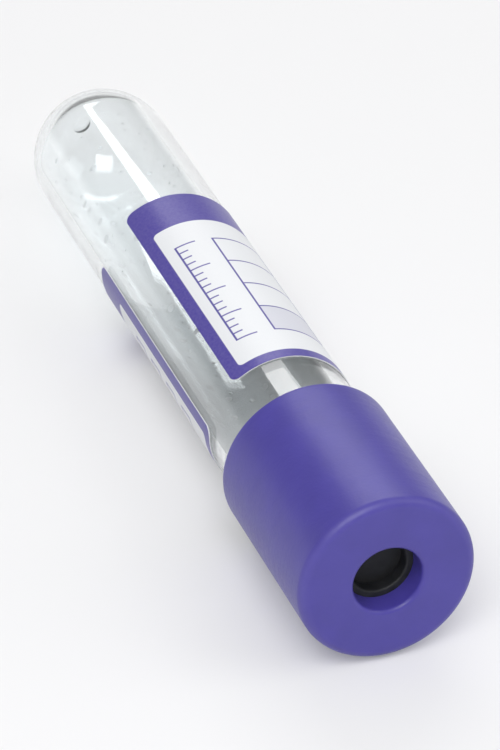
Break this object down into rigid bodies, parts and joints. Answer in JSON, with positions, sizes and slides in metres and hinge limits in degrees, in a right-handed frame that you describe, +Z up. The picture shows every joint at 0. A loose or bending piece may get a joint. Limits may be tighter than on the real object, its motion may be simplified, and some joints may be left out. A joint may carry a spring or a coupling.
{
  "type": "evacuated blood collection tube",
  "caption": "Clear round-bottomed plastic blood collection tube with a black rubber stopper in a violet pull-off cap, a wrapped label and dried additive, lying on its side.",
  "frame": {"origin": "middle of the footprint of the tube as it lies on its side, on the surface it lies on", "axes": "+X along the tube towards its cap, +Z up; the tube's own axis climbs about 1.3 degrees towards +X"},
  "size_m": [0.0795, 0.0154, 0.0158],
  "materials": {
    "clear_pet": "clear moulded PET, glossy",
    "label_paper": "coated white label with violet print",
    "dried_salt": "dried white salt droplets",
    "violet_cap": "moulded violet polyethylene, satin",
    "black_rubber": "smooth black bromobutyl rubber"
  },
  "bodies": {
    "tube_body": {"tube": "clear_pet", "label": "label_paper", "additive": "dried_salt"},
    "closure": {"safety_cap": "violet_cap", "stopper": "black_rubber"}
  },
  "joints": [
    {"name": "closure_pull", "type": "slide", "parent": "tube_body", "child": "closure", "axis": [0.9998, 0, 0.0219], "range_m": [0, 0.03]}
  ]
}
